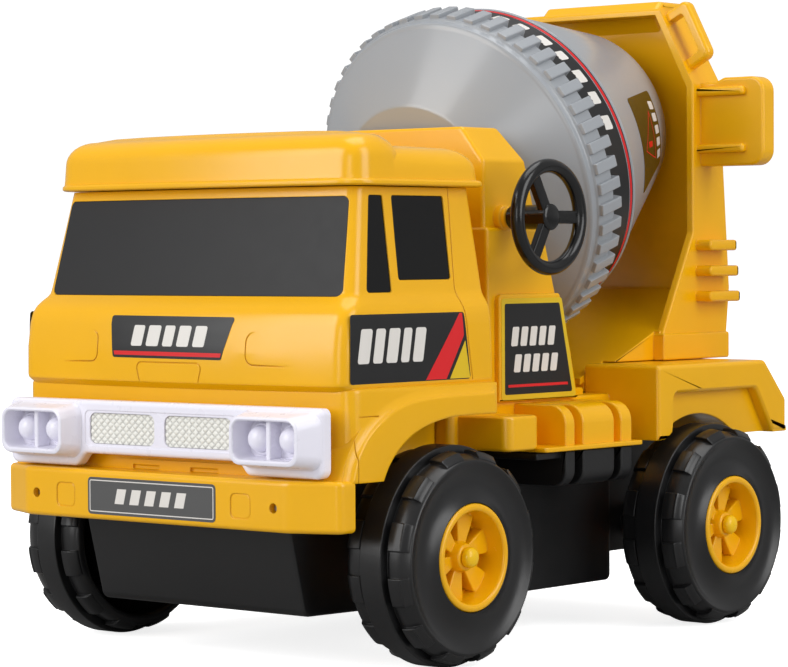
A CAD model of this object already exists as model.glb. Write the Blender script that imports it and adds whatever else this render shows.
"""Looks of a toy concrete mixer truck: moulded body, drum, wheels, handwheel and printed labels.

Lengths are millimetres in the truck's own frame (front -Y, left +X, up +Z, x = 0 the plane of
symmetry, floor at z = 0) until done() writes world metres.
"""

import math

import bmesh
import bpy
from mathutils import Matrix, Vector


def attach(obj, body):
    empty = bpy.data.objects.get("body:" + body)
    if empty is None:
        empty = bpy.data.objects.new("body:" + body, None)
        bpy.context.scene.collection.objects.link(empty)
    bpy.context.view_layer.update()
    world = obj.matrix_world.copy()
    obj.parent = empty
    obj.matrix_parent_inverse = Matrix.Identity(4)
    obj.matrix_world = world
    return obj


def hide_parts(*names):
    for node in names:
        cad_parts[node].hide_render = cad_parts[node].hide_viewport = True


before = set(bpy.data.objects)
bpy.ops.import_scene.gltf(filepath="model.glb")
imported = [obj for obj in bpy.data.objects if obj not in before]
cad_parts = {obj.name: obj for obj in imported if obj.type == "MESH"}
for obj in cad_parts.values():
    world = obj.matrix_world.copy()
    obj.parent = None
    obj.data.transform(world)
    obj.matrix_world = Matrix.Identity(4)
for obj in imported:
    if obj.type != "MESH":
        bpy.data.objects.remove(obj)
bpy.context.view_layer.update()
SCENE = bpy.context.scene.collection

# ---- driving dimensions -------------------------------------------------------------
SHIFT_Y = -5.25                      # from the truck's frame to the world's
AXLES = {"front": -71.4, "rear": 85.4}
AXLE_Z = 38
TILT = math.radians(17.5)            # drum axis, rising to the rear
DRUM_Y, DRUM_Z = 33.0, 167.2
SHAFT_REACH = 44.0                   # crank shaft, ahead of the drum origin along the drum axis
SHAFT_Y = DRUM_Y - SHAFT_REACH * math.cos(TILT)
SHAFT_Z = DRUM_Z - SHAFT_REACH * math.sin(TILT)
POST_X, REAR_POST_Y = 38, 46         # screw posts
BUMPER_FRONT = -133.4
TOWER_PAD_X = 59.4                   # face of the raised pads on the tower's sides


def shift(x=0.0, y=0.0, z=0.0):
    return Matrix.Translation((x, y, z))


def turn(angle, axis="Z"):
    return Matrix.Rotation(angle, 4, axis)


def sideways(side, y, z):
    """Local Z points to the left (side 1) or the right (side -1) from (0, y, z)."""
    return shift(0, y, z) @ turn(side * math.pi / 2, "Y")


TO_WORLD = Matrix.Scale(0.001, 4) @ shift(0, SHIFT_Y, 0)
REARWARD = turn(-math.pi / 2, "X")   # local Z to +Y
FORWARD = turn(math.pi / 2, "X")     # local Z to -Y
FLIP_X = Matrix.Diagonal((-1, 1, 1, 1))
# local Z along the drum axis, towards the rear; local +Y down
DRUM = shift(0, DRUM_Y, DRUM_Z) @ turn(TILT - math.pi / 2, "X")
# local Z along the crank shaft, to the left
SHAFT = shift(0, SHAFT_Y, SHAFT_Z) @ Matrix(
    ((0, 0, 1, 0), (1, 0, 0, 0), (0, 1, 0, 0), (0, 0, 0, 1)))


# ---- materials ----------------------------------------------------------------------
def linear(colour):
    """Linear channels of an 8-bit sRGB colour."""
    channels = [value / 255.0 for value in colour]
    return [value / 12.92 if value <= 0.04045 else ((value + 0.055) / 1.055) ** 2.4
            for value in channels]


def add_node(tree, kind, inputs, **properties):
    """A new shader node; an input is given as a value or as the socket that feeds it."""
    node = tree.nodes.new("ShaderNode" + kind)
    for key, value in properties.items():
        setattr(node, key, value)
    for key, value in inputs.items():
        if isinstance(value, bpy.types.NodeSocket):
            tree.links.new(value, node.inputs[key])
        else:
            node.inputs[key].default_value = value
    return node


def mix_colour(tree, inputs):
    return add_node(tree, "Mix", inputs, data_type="RGBA").outputs["Result"]


def noise(tree, coords, scale, detail):
    inputs = {"Scale": scale, "Detail": detail, "Vector": coords}
    return add_node(tree, "TexNoise", inputs).outputs["Fac"]


def bump(tree, height, depth, under):
    """Relief of the given depth (mm) laid over the normal under it, if any."""
    inputs = {"Strength": 1.0, "Distance": depth * 0.001, "Height": height}
    if under is not None:
        inputs["Normal"] = under
    return add_node(tree, "Bump", inputs).outputs["Normal"]


def surface(name, colour, rough, vary, rough_vary=0.08, grain=0.0, grain_scale=2600, wave=0.0,
            metal=0.0, coat=0.0, edge=0.0, spec=0.5, grime=0.0):
    """Moulded plastic, vinyl or metal. vary mottles the colour and rough_vary the gloss; grain
    and wave are the depths (mm) of the fine and the broad relief, edge the radius (mm) that
    softens corners, and grime darkens creases."""
    mat = bpy.data.materials.new(name)
    mat.use_nodes = True
    tree = mat.node_tree
    shader = tree.nodes["Principled BSDF"].inputs
    shader["Metallic"].default_value = metal
    shader["Specular IOR Level"].default_value = spec
    if coat:
        shader["Coat Weight"].default_value = coat
        shader["Coat Roughness"].default_value = 0.12
    coords = add_node(tree, "TexCoord", {}).outputs["Object"]
    base = linear(colour)

    mottle = noise(tree, coords, scale=45, detail=3)
    tint = mix_colour(tree, {
        "A": (*[value * (1 - vary) for value in base], 1),
        "B": (*[min(1.0, value * (1 + vary)) for value in base], 1),
        "Factor": mottle})
    if grime:
        open_air = add_node(tree, "AmbientOcclusion", {"Distance": 0.004}, samples=4)
        crease = add_node(tree, "Math", {1: -grime, 2: grime, 0: open_air.outputs["AO"]},
                          operation="MULTIPLY_ADD")
        tint = mix_colour(tree, {"B": (*[value * 0.35 for value in base], 1),
                                 "Factor": crease.outputs[0], "A": tint})
    tree.links.new(tint, shader["Base Color"])

    gloss = add_node(tree, "MapRange", {
        "To Min": max(0.03, rough - rough_vary),
        "To Max": min(1.0, rough + rough_vary),
        "Value": noise(tree, coords, scale=170, detail=5)})
    tree.links.new(gloss.outputs["Result"], shader["Roughness"])

    normal = None
    if edge:
        bevel = add_node(tree, "Bevel", {"Radius": edge * 0.001}, samples=4)
        normal = bevel.outputs["Normal"]
    if wave:
        normal = bump(tree, noise(tree, coords, scale=60, detail=1), wave, normal)
    if grain:
        normal = bump(tree, noise(tree, coords, scale=grain_scale, detail=2), grain, normal)
    if normal is not None:
        tree.links.new(normal, shader["Normal"])
    mat.diffuse_color = (*base, 1)
    return mat


def vinyl(name, colour, rough, vary=0.05, rough_vary=0.08):
    return surface(name, colour, rough, vary, rough_vary, grain=0.003)


YELLOW = surface("yellow_plastic", (243, 180, 5), rough=0.24, vary=0.03, rough_vary=0.05,
                 grain=0.005, wave=0.03, edge=0.5)
RIM_YELLOW = surface("rim_plastic", (244, 180, 3), rough=0.24, vary=0.03, grain=0.004, edge=0.35)
LEMON = surface("cap_plastic", (246, 196, 8), rough=0.26, vary=0.03, grain=0.004, edge=0.2)
BLACK = surface("black_plastic", (19, 19, 20), rough=0.42, vary=0.10, rough_vary=0.06,
                grain=0.012, grain_scale=1800, edge=0.35)
TYRE = surface("tyre_plastic", (22, 22, 23), rough=0.31, vary=0.12, rough_vary=0.06,
               grain=0.010, grain_scale=1500, wave=0.02, edge=0.4)
WHEEL_BLACK = surface("handwheel_plastic", (12, 12, 13), rough=0.20, vary=0.10, rough_vary=0.05,
                      grain=0.004, edge=0.25)
WHITE = surface("white_plastic", (240, 238, 250), rough=0.28, vary=0.006, rough_vary=0.03,
                grain=0.002, edge=0.4)
PEARL = surface("pearl_plastic", (244, 243, 236), rough=0.38, vary=0.02, grain=0.006, grime=0.8)
GREY = surface("drum_plastic", (158, 162, 167), rough=0.24, vary=0.015, rough_vary=0.03,
               grain=0.002, edge=0.4, coat=0.15)
GLASS = surface("window_plastic", (40, 40, 41), rough=0.45, vary=0.06, rough_vary=0.05,
                grain=0.004, edge=0.25, spec=0.25)
GLASS_SIDE = surface("side_window_plastic", (8, 8, 9), rough=0.22, vary=0.08, rough_vary=0.05,
                     grain=0.004, edge=0.25, spec=0.3)
VINYL_BLACK = vinyl("vinyl_black", (24, 24, 25), rough=0.35, vary=0.08, rough_vary=0.06)
VINYL_WHITE = vinyl("vinyl_white", (228, 224, 218), rough=0.38, vary=0.03)
VINYL_RED = vinyl("vinyl_red", (222, 26, 32), rough=0.34)
VINYL_YELLOW = vinyl("vinyl_yellow", (226, 190, 24), rough=0.34)
VINYL_GREY = vinyl("vinyl_grey", (80, 80, 80), rough=0.4)
VINYL_OLIVE = vinyl("vinyl_olive", (66, 58, 22), rough=0.22, vary=0.25)
STEEL = surface("axle_steel", (168, 168, 172), rough=0.30, vary=0.08, rough_vary=0.10,
                grain=0.004, metal=1.0)

# what done() is told about the main families of pieces
YELLOW_PART = {"body": "truck_body", "slot": "yellow_plastic", "mats": YELLOW}
DRUM_PART = {"body": "drum", "slot": "drum_plastic", "matrix": DRUM}


# ---- outlines -----------------------------------------------------------------------
def area(outline):
    """Signed area, positive when the outline runs anticlockwise."""
    ends = zip(outline, outline[1:] + outline[:1])
    return 0.5 * sum(start[0] * end[1] - end[0] * start[1] for start, end in ends)


def ccw(outline):
    outline = [tuple(point) for point in outline]
    return outline if area(outline) > 0 else outline[::-1]


def rect(x0, x1, y0, y1):
    return [(x0, y0), (x1, y0), (x1, y1), (x0, y1)]


def inset(outline, distance):
    """The anticlockwise outline moved inwards, or outwards by a negative distance."""
    result = []
    for i, point in enumerate(outline):
        before, after = outline[i - 1], outline[(i + 1) % len(outline)]
        edge_in = Vector((point[0] - before[0], point[1] - before[1])).normalized()
        edge_out = Vector((after[0] - point[0], after[1] - point[1])).normalized()
        normal_in = Vector((-edge_in.y, edge_in.x))
        normal_out = Vector((-edge_out.y, edge_out.x))
        spread = max(0.25, 1 + normal_in.dot(normal_out))
        result.append(tuple(Vector(point) + (normal_in + normal_out) * (distance / spread)))
    return result


def rounded(outline, radii, steps=5):
    """The outline with its corners turned into arcs; one radius, or one for each corner."""
    if not isinstance(radii, (list, tuple)):
        radii = [radii] * len(outline)
    if area(outline) < 0:
        outline, radii = outline[::-1], radii[::-1]
    result = []
    for i, (point, radius) in enumerate(zip(outline, radii)):
        corner = Vector(point)
        back = Vector(outline[i - 1]) - corner
        ahead = Vector(outline[(i + 1) % len(outline)]) - corner
        half = back.angle(ahead) / 2
        if radius <= 0 or half > math.radians(86):
            result.append(tuple(corner))
            continue
        reach = min(radius / math.tan(half), 0.46 * back.length, 0.46 * ahead.length)
        start = corner + back.normalized() * reach
        end = corner + ahead.normalized() * reach
        weight = math.sin(half)
        for k in range(steps + 1):
            s = k / steps
            total = (1 - s) ** 2 + 2 * s * (1 - s) * weight + s * s
            pull = 2 * s * (1 - s) * weight
            result.append(tuple((start * (1 - s) ** 2 + corner * pull + end * (s * s)) / total))
    return result


def curve(points, steps):
    """A smooth open (Catmull-Rom) polyline through the points."""
    points = [Vector(point) for point in points]
    points = [points[0] * 2 - points[1]] + points + [points[-1] * 2 - points[-2]]
    result = []
    for i in range(1, len(points) - 2):
        a, b, c, d = points[i - 1 : i + 3]
        for k in range(steps):
            t = k / steps
            result.append(tuple(0.5 * (2 * b + (c - a) * t + (2 * a - 5 * b + 4 * c - d) * t * t
                                       + (3 * b - a - 3 * c + d) * t ** 3)))
    result.append(tuple(points[-2]))
    return result


# ---- meshes -------------------------------------------------------------------------
def new_object(name, data):
    obj = bpy.data.objects.new(name, data)
    SCENE.objects.link(obj)
    return obj


def to_mesh(bm, name):
    mesh = bpy.data.meshes.new(name)
    bm.to_mesh(mesh)
    bm.free()
    return mesh


def to_object(bm):
    bmesh.ops.remove_doubles(bm, verts=bm.verts, dist=1e-4)
    bmesh.ops.recalc_face_normals(bm, faces=bm.faces)
    return new_object("tmp", to_mesh(bm, "tmp"))


def loft(rings, closed=False):
    """Skins the rings in turn; closed joins the last to the first instead of capping both."""
    bm = bmesh.new()
    rows = [[bm.verts.new(point) for point in ring] for ring in rings]
    count = len(rows[0])
    for low, high in zip(rows, rows[1:] + (rows[:1] if closed else [])):
        for i in range(count):
            j = (i + 1) % count
            bm.faces.new((low[i], low[j], high[j], high[i]))
    if not closed:
        bm.faces.new(rows[0][::-1])
        bm.faces.new(rows[-1])
    return to_object(bm)


# where an outline point lands at a level along the axis
PLACE = {
    "x": lambda point, level: (level, point[0], point[1]),
    "y": lambda point, level: (point[0], level, point[1]),
    "z": lambda point, level: (point[0], point[1], level),
}


def stack(levels, axis, closed=False):
    """A loft through (outline, level) pairs along the axis."""
    place = PLACE[axis]
    return loft([[place(point, level) for point in outline] for outline, level in levels], closed)


def end_levels(outline, end, inward, radius, steps):
    """Levels from an end face to where its rounded edge meets the straight side."""
    if not radius:
        return [(outline, end)]
    levels = []
    for k in range(steps + 1):
        angle = math.pi / 2 * k / steps
        levels.append((inset(outline, radius * (1 - math.sin(angle))),
                       end + inward * (radius * (1 - math.cos(angle)))))
    return levels


def slab(outline, axis, low, high, round_low=0.0, round_high=None, steps=3):
    """A prism whose two end edges are rounded; round_high defaults to round_low."""
    if round_high is None:
        round_high = round_low
    outline = ccw(outline)
    return stack(end_levels(outline, low, 1, round_low, steps)
                 + end_levels(outline, high, -1, round_high, steps)[::-1], axis)


def box(xs, ys, zs, edge, corner=None):
    """A box between three (low, high) pairs; corner rounds the upright edges."""
    return slab(rounded(rect(*xs, *ys), corner or edge, 4), "z", *zs, edge)


def revolve(profile, segments, phase=0.0):
    """The closed profile of (radius, height) points turned round local Z."""
    bm = bmesh.new()
    rows = []
    for radius, height in profile:
        if radius < 1e-6:
            rows.append([bm.verts.new((0, 0, height))])
            continue
        angles = [phase + 2 * math.pi * i / segments for i in range(segments)]
        rows.append([bm.verts.new((radius * math.cos(angle), radius * math.sin(angle), height))
                     for angle in angles])
    for low, high in zip(rows, rows[1:] + rows[:1]):
        if len(low) == 1 and len(high) == 1:
            continue
        for i in range(segments):
            j = (i + 1) % segments
            if len(low) == 1:
                bm.faces.new((low[0], high[i], high[j]))
            elif len(high) == 1:
                bm.faces.new((low[i], high[0], low[j]))
            else:
                bm.faces.new((low[i], high[i], high[j], low[j]))
    return to_object(bm)


def rod(radius, low, high, segments, edge=0.0):
    """A cylinder on local Z, its end edges chamfered by edge."""
    if edge:
        return revolve([(0, low), (radius - edge, low), (radius, low + edge),
                        (radius, high - edge), (radius - edge, high), (0, high)], segments)
    return revolve([(0, low), (radius, low), (radius, high), (0, high)], segments)


def moved(obj, matrix):
    obj.data.transform(matrix)
    if matrix.to_3x3().determinant() < 0:
        obj.data.flip_normals()
    return obj


def both(make, *args):
    """The piece for the left side and its mirror image."""
    return [make(*args), moved(make(*args), FLIP_X)]


def drop(obj):
    mesh = obj.data
    bpy.data.objects.remove(obj, do_unlink=True)
    bpy.data.meshes.remove(mesh)


def merged(objs):
    """One object of separate shells, with no boolean."""
    bm = bmesh.new()
    for obj in objs:
        bm.from_mesh(obj.data)
        drop(obj)
    return to_object(bm)


def bake(obj, split):
    """Applies the modifiers and cleans up; split triangulates faces of five or more sides."""
    graph = bpy.context.evaluated_depsgraph_get()
    mesh = bpy.data.meshes.new_from_object(obj.evaluated_get(graph))
    obj.modifiers.clear()
    old = obj.data
    obj.data = mesh
    bpy.data.meshes.remove(old)
    bm = bmesh.new()
    bm.from_mesh(mesh)
    if split:
        large = [face for face in bm.faces if len(face.verts) > 4]
        bmesh.ops.triangulate(bm, faces=large, ngon_method="BEAUTY")
    bmesh.ops.remove_doubles(bm, verts=bm.verts, dist=5e-4)
    bmesh.ops.dissolve_degenerate(bm, edges=bm.edges, dist=5e-4)
    bm.to_mesh(mesh)
    bm.free()


def combine(obj, others, operation):
    for other in others:
        mod = obj.modifiers.new("b", "BOOLEAN")
        mod.operation = operation
        mod.solver = "MANIFOLD"
        mod.object = other
    bake(obj, split=operation != "INTERSECT")
    for other in others:
        drop(other)
    return obj


def join(obj, *others):
    return combine(obj, others, "UNION")


def cut(obj, *others):
    return combine(obj, others, "DIFFERENCE")


def done(obj, name, body, slot, mats, node=None, matrix=Matrix.Identity(4), sharp=32,
         weighted=True):
    """Writes the piece in world metres, shades it and puts it on its body."""
    mats = mats if isinstance(mats, list) else [mats]
    obj.name = obj.data.name = name
    obj.data.transform(TO_WORLD @ matrix)
    if len(mats) == 1:
        # clearing also resets the faces' material numbers, so films of several keep theirs
        obj.data.materials.clear()
    for mat in mats:
        obj.data.materials.append(mat)
    obj.data.shade_smooth()
    obj.data.set_sharp_from_angle(angle=math.radians(sharp))
    if weighted:
        mod = obj.modifiers.new("normals", "WEIGHTED_NORMAL")
        mod.keep_sharp = True
    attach(obj, body)
    if node:
        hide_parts(node)


def sheet(outline):
    """A single face at z = 0."""
    bm = bmesh.new()
    bm.faces.new([bm.verts.new((x, y, 0)) for x, y in outline])
    return bm


def slice_across(bm, axis, level):
    """Splits everything where the axis (0 or 1) passes the level."""
    point, normal = [0, 0, 0], [0, 0, 0]
    point[axis], normal[axis] = level, 1
    bmesh.ops.bisect_plane(bm, geom=bm.verts[:] + bm.edges[:] + bm.faces[:], plane_co=point,
                           plane_no=normal)


def extrude(bm):
    """Closes the faces into a solid in place and returns the second skin's vertices."""
    made = bmesh.ops.extrude_face_region(bm, geom=bm.faces[:], use_keep_orig=True)
    return [item for item in made["geom"] if isinstance(item, bmesh.types.BMVert)]


# ---- printed films ------------------------------------------------------------------
FILM_BASE, FILM_THICK, FILM_LAYER = 0.02, 0.10, 0.05


def film(shapes, place, name, body="truck_body", slot="yellow_plastic", steps=(None, None),
         **finish):
    """Shapes are (outline, material, layer); place(across, up, lift) puts a point on the
    surface, and steps slice the film so that it can follow a curve."""
    mats = []
    out = bmesh.new()
    for outline, mat, layer in shapes:
        if mat not in mats:
            mats.append(mat)
        bm = sheet(ccw(outline))
        for axis, step in enumerate(steps):
            if not step:
                continue
            low = min(vert.co[axis] for vert in bm.verts)
            high = max(vert.co[axis] for vert in bm.verts)
            for k in range(math.floor(low / step) + 1, math.ceil(high / step)):
                slice_across(bm, axis, k * step)
        for vert in extrude(bm):
            vert.co.z = 1
        top = FILM_BASE + FILM_THICK + FILM_LAYER * layer
        for vert in bm.verts:
            vert.co = place(vert.co.x, vert.co.y, top if vert.co.z > 0.5 else FILM_BASE)
        bmesh.ops.recalc_face_normals(bm, faces=bm.faces)
        for face in bm.faces:
            face.material_index = mats.index(mat)
        part = to_mesh(bm, "film")
        out.from_mesh(part)
        bpy.data.meshes.remove(part)
    obj = new_object(name, to_mesh(out, name))
    done(obj, name, body, slot, mats, sharp=25, weighted=False, **finish)


def white_blocks(start, widths, gap, low, high, lean, radius, layer=1):
    """A row of leaning white blocks standing in for lettering."""
    shapes = []
    for width in widths:
        end = start + width
        outline = [(start, low), (end, low), (end + lean, high), (start + lean, high)]
        shapes.append((rounded(outline, radius, 3), VINYL_WHITE, layer))
        start = end + gap
    return shapes


def border(outer, inner, mat):
    """Strips that fill the band between two outlines with matching points."""
    return [([outer[i - 1], outer[i], inner[i], inner[i - 1]], mat, 1)
            for i in [*range(1, len(outer)), 0]]


# ---- cab ----------------------------------------------------------------------------
def cab_ring(z, width, front, bow, corner, rear, rear_corner=2.0):
    """One level of the cab: half-width, y of the front's middle and how far its ends bow back
    from it, front corner reach, y of the rear and its corner size."""
    front_end = front + bow
    left = [(width - rear_corner, rear), (width - 0.3 * rear_corner, rear - 0.3 * rear_corner),
            (width, rear - rear_corner), (width, (rear + front_end) / 2)]
    start = Vector((width, front_end + corner))
    middle = Vector((width, front_end + 0.02 * corner))
    end = Vector((width - corner, front_end))
    weight = 0.8
    for k in range(7):
        s = k / 6
        total = (1 - s) ** 2 + 2 * s * (1 - s) * weight + s * s
        pull = 2 * s * (1 - s) * weight
        left.append(tuple((start * (1 - s) ** 2 + middle * pull + end * s * s) / total))
    flat = width - corner
    face = [(flat * t, front + bow * t * t)
            for t in (0.8, 0.6, 0.4, 0.2, 0.0, -0.2, -0.4, -0.6, -0.8)]
    return [(x, y, z) for x, y in left + face + [(-x, y) for x, y in reversed(left)]]


# z, half-width, front middle y, bow, front corner, rear y
CAB_CORNER = 6.0
CAB_LEVELS = [
    (94.9, 75.2, -121.4, 3.2, CAB_CORNER, -41.4), (96.2, 76.6, -123.2, 3.2, CAB_CORNER, -41.0),
    (97.3, 77.1, -124.3, 3.2, CAB_CORNER, -41.0), (98.4, 77.2, -124.6, 3.2, CAB_CORNER, -41.0),
    (108.4, 77.2, -124.5, 3.2, CAB_CORNER, -41.3), (117.0, 77.1, -123.4, 3.2, CAB_CORNER, -41.7),
    (120.6, 76.9, -122.2, 3.1, CAB_CORNER, -41.9), (122.8, 76.4, -120.7, 3.0, CAB_CORNER, -42.0),
    (124.6, 75.6, -118.8, 2.9, CAB_CORNER, -42.1), (126.2, 74.6, -116.8, 2.8, CAB_CORNER, -42.2),
    (127.4, 73.9, -115.6, 2.7, 5.5, -42.3), (129.0, 73.5, -114.9, 2.6, 5.0, -42.4),
    (146.0, 71.2, -111.3, 2.5, 5.0, -43.4), (163.9, 68.9, -107.6, 2.4, 5.0, -44.8),
]
# z, half-width, front middle y of the skirt below
SKIRT_LEVELS = [(65.3, 77.6, -121.0), (65.9, 78.1, -121.5), (66.6, 78.2, -121.6),
                (94.9, 78.2, -121.6), (95.9, 78.0, -121.4), (96.4, 77.4, -120.8)]


def cab_level(z):
    """The row of CAB_LEVELS interpolated at z."""
    previous = CAB_LEVELS[0]
    for row in CAB_LEVELS:
        if row[0] >= z:
            t = (z - previous[0]) / max(1e-6, row[0] - previous[0])
            return [low + t * (high - low) for low, high in zip(previous, row)]
        previous = row
    return previous


def side_x(z):
    return cab_level(z)[1]


def front_y(x, z):
    width, front, bow = cab_level(z)[1:4]
    return front + bow * (x / (width - CAB_CORNER)) ** 2


# flare over the front wheel: (y, z) of its two edges
OUTER_ARC = curve([(-119.7, 65.5), (-116.9, 73.2), (-110.8, 81.0), (-101.2, 87.3), (-93.5, 90.1),
                   (-85, 91.7), (-73, 92.5), (-58, 92.7), (-43.6, 92.8)], 5)
INNER_ARC = curve([(-103.9, 64.6), (-100.6, 70.2), (-95.6, 75.4), (-88.5, 80.0), (-79.7, 83.1),
                   (-71.5, 84.7), (-63.6, 85.4), (-43.2, 85.5)], 5)
FRONT_WELL = INNER_ARC + [(-20, 85.5), (-20, 40), (-103.9, 40)]
# x, growth of the flare's band
FLARE_LEVELS = [(70, 3.4), (78.15, 3.4), (78.35, 2.2), (78.75, 1.1), (79.15, 0.45), (79.5, 0.1),
                (79.75, -0.1), (79.93, -0.45), (80.0, -0.9)]


def grown_loft(outline, levels):
    """A loft along x through (x, growth of the outline) levels."""
    return stack([(inset(ccw(outline), -grow), x) for x, grow in levels], "x")


cab = loft([cab_ring(*row) for row in CAB_LEVELS])
skirt = loft([cab_ring(z, width, front, 3.0, 6.5, -41.0) for z, width, front in SKIRT_LEVELS])
join(cab, skirt, *both(grown_loft, OUTER_ARC + INNER_ARC[::-1], FLARE_LEVELS))
cut(cab, *both(slab, FRONT_WELL, "x", 50, 96))
# trim the rear, hollow the middle, trim the flare's front foot
cut(cab, slab(rect(-100, 100, -40.9, 0), "z", 40, 130),
    slab(rect(-46.5, 46.5, -117.5, -44), "z", 40, 120))
cut(cab, *both(slab, rect(-130, -100, 60, 65.35), "x", 40, 96))

# windows: the windscreen in (x, z), the quarter and door lights in (y, z)
SCREEN = rounded([(-69.8, 126.9), (69.8, 126.9), (66.6, 160.6), (-66.6, 160.6)], 2.4, 6)
QUARTER = rounded([(-104.9, 128.1), (-91.8, 128.1), (-91.5, 161.0), (-98.7, 161.0)],
                  [1.2, 1.0, 0.9, 0.9], 4)
DOOR = rounded([(-87.7, 132.2), (-59.8, 132.2), (-59.3, 161.0), (-87.0, 161.0)], 1.0, 5)
SCREEN_LOW, SCREEN_HIGH = (-115.6, 127.4), (-107.6, 163.9)   # (y, z) on the cab's front
SCREEN_BOW, SCREEN_HALF = 2.5, 66.0
SCREEN_POCKET = 2.6
SIDE_POCKET_X = 66.5
PANE_GAP = 0.08


def screen_y(x, z):
    (y_low, z_low), (y_high, z_high) = SCREEN_LOW, SCREEN_HIGH
    t = (z - z_low) / (z_high - z_low)
    return y_low + t * (y_high - y_low) + SCREEN_BOW * (x / SCREEN_HALF) ** 2


def screen_cutter():
    """Follows the bow of the front, a fixed depth behind it."""
    bm = bmesh.new()
    front, back = [], []
    for x, z in ccw(SCREEN):
        front.append(bm.verts.new((x, -140, z)))
        back.append(bm.verts.new((x, screen_y(x, z) + SCREEN_POCKET, z)))
    for i in range(len(front)):
        j = (i + 1) % len(front)
        bm.faces.new((front[i], front[j], back[j], back[i]))
    bm.faces.new(front[::-1])
    # the floor of the pocket is split so that it bows too
    floor_face = bm.faces.new(back)
    bmesh.ops.triangulate(bm, faces=[floor_face], ngon_method="BEAUTY")
    return to_object(bm)


cut(cab, screen_cutter())
cut(cab, *both(slab, QUARTER, "x", SIDE_POCKET_X, 90), *both(slab, DOOR, "x", SIDE_POCKET_X, 90))

# engraved lines
SEAM = curve([(-56.3, 164.5), (-57.2, 148), (-58.2, 132.0), (-58.2, 128.5), (-57.6, 124.5),
              (-56.3, 119.0), (-54.8, 108), (-53.0, 97.6)], 4)   # (y, z) behind the door light
SEAM_WIDTH, SEAM_DEPTH = 0.34, 0.4
LINE_WIDTH = 0.36
PAD = rounded([(35.6, 103.9), (55.9, 103.5), (55.9, 114.4), (35.6, 114.9)], 3.2, 5)
NOSE = rounded([(-16.0, 104.0), (-13.6, 95.8), (-10.5, 92.0), (10.5, 92.0), (13.6, 95.8),
                (16.0, 104.0)], [2.0, 2.0, 1.6, 1.6, 2.0, 2.0], 4)


def seam_blade():
    """Cutter that follows the side's slope down the seam."""
    points = [Vector(point) for point in SEAM]
    rings = []
    for i, point in enumerate(points):
        before, after = points[max(i - 1, 0)], points[min(i + 1, len(points) - 1)]
        along = (after - before).normalized()
        aside = Vector((-along.y, along.x)) * (SEAM_WIDTH / 2)
        y0, z0 = point + aside
        y1, z1 = point - aside
        x0, x1 = side_x(z0), side_x(z1)
        rings.append([(x0 - SEAM_DEPTH, y0, z0), (x1 - SEAM_DEPTH, y1, z1), (x1 + 3, y1, z1),
                      (x0 + 3, y0, z0)])
    return loft(rings)


def ring_groove(outline, width, low, high):
    """Cutter for an engraved (x, z) outline, between two levels of y."""
    outer, inner = inset(ccw(outline), -width / 2), inset(ccw(outline), width / 2)
    return stack([(outer, low), (outer, high), (inner, high), (inner, low)], "y", closed=True)


cut(cab, *both(seam_blade))
cut(cab, *both(slab, rect(-116.8, -116.5, 65, 95.8), "x", 77.8, 82),
    *both(slab, rect(-116.6, -104.6, 86.9, 87.2), "x", 77.8, 82))
pad_y = front_y(46, 109)
for side in (-1, 1):
    pad = [(side * x, z) for x, z in PAD]
    cut(cab, ring_groove(pad, LINE_WIDTH, pad_y - 3, pad_y + 0.42))
cut(cab, ring_groove(NOSE, LINE_WIDTH, -130, front_y(0, 100) + 0.5))
# two slots below the light bar's middle, inside an engraved outline
cut(cab, ring_groove(rounded(rect(-30.5, 30.5, 60.5, 70.2), 3.0, 5), 0.5, -128, -121.05))
cut(cab, *[box((x - 6.6, x + 6.6), (-126, -120.4), (66.4, 68.0), 0.5) for x in (-14.0, 14.0)])
done(cab, "cab_body", **YELLOW_PART, node="cab_shell", sharp=28)


# panes set back in the openings
def screen_pane():
    bm = sheet(inset(ccw(SCREEN), PANE_GAP))
    for k in range(-12, 13):
        slice_across(bm, 0, k * 5.5)
    for vert in extrude(bm):
        vert.co.z = 1
    for vert in bm.verts:
        x, z, skin = vert.co
        vert.co = (x, screen_y(x, z) + (0.35 if skin < 0.5 else 2.9), z)
    return to_object(bm)


def side_pane(outline):
    """Follows the slope of the side between the cab's levels at z = 129 and 146."""
    outline = inset(ccw(outline), PANE_GAP)
    return loft([[(73.5 + (z - 129.0) * (71.2 - 73.5) / 17.0 + push, y, z) for y, z in outline]
                 for push in (-3.2, -0.35)])


done(screen_pane(), "windscreen_pane", "truck_body", "window_plastic", GLASS, "windscreen",
     sharp=40)
for side, hand in ((1, "left"), (-1, "right")):
    panes = merged([side_pane(QUARTER), side_pane(DOOR)])
    if side < 0:
        moved(panes, FLIP_X)
    done(panes, f"side_panes_{hand}", "truck_body", "window_plastic", GLASS_SIDE,
         f"side_window_{hand}", sharp=40)


# ---- roof: a lip, a low crown and a higher one at the front ---------------------------
def roof_loft(levels, corner):
    """Levels are (z, half-width, front y, rear y); corner(half-width) is the corner size."""
    rings = []
    for z, width, front, rear in levels:
        size = corner(width)
        rings.append(cab_ring(z, width, front, 3.0, size, rear, min(size, 7.0)))
    return loft(rings)


def crown_arc(start, rise, depth, front_rate, rear_rate):
    """Levels that round the crown's edge over, from the start level up and inwards."""
    z, width, front, rear = start
    levels = []
    for k in range(9):
        angle = math.pi / 2 * k / 8
        inward = depth * (1 - math.cos(angle))
        levels.append((z + rise * math.sin(angle), width - inward, front + front_rate * inward,
                       rear - rear_rate * inward))
    return levels


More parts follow.
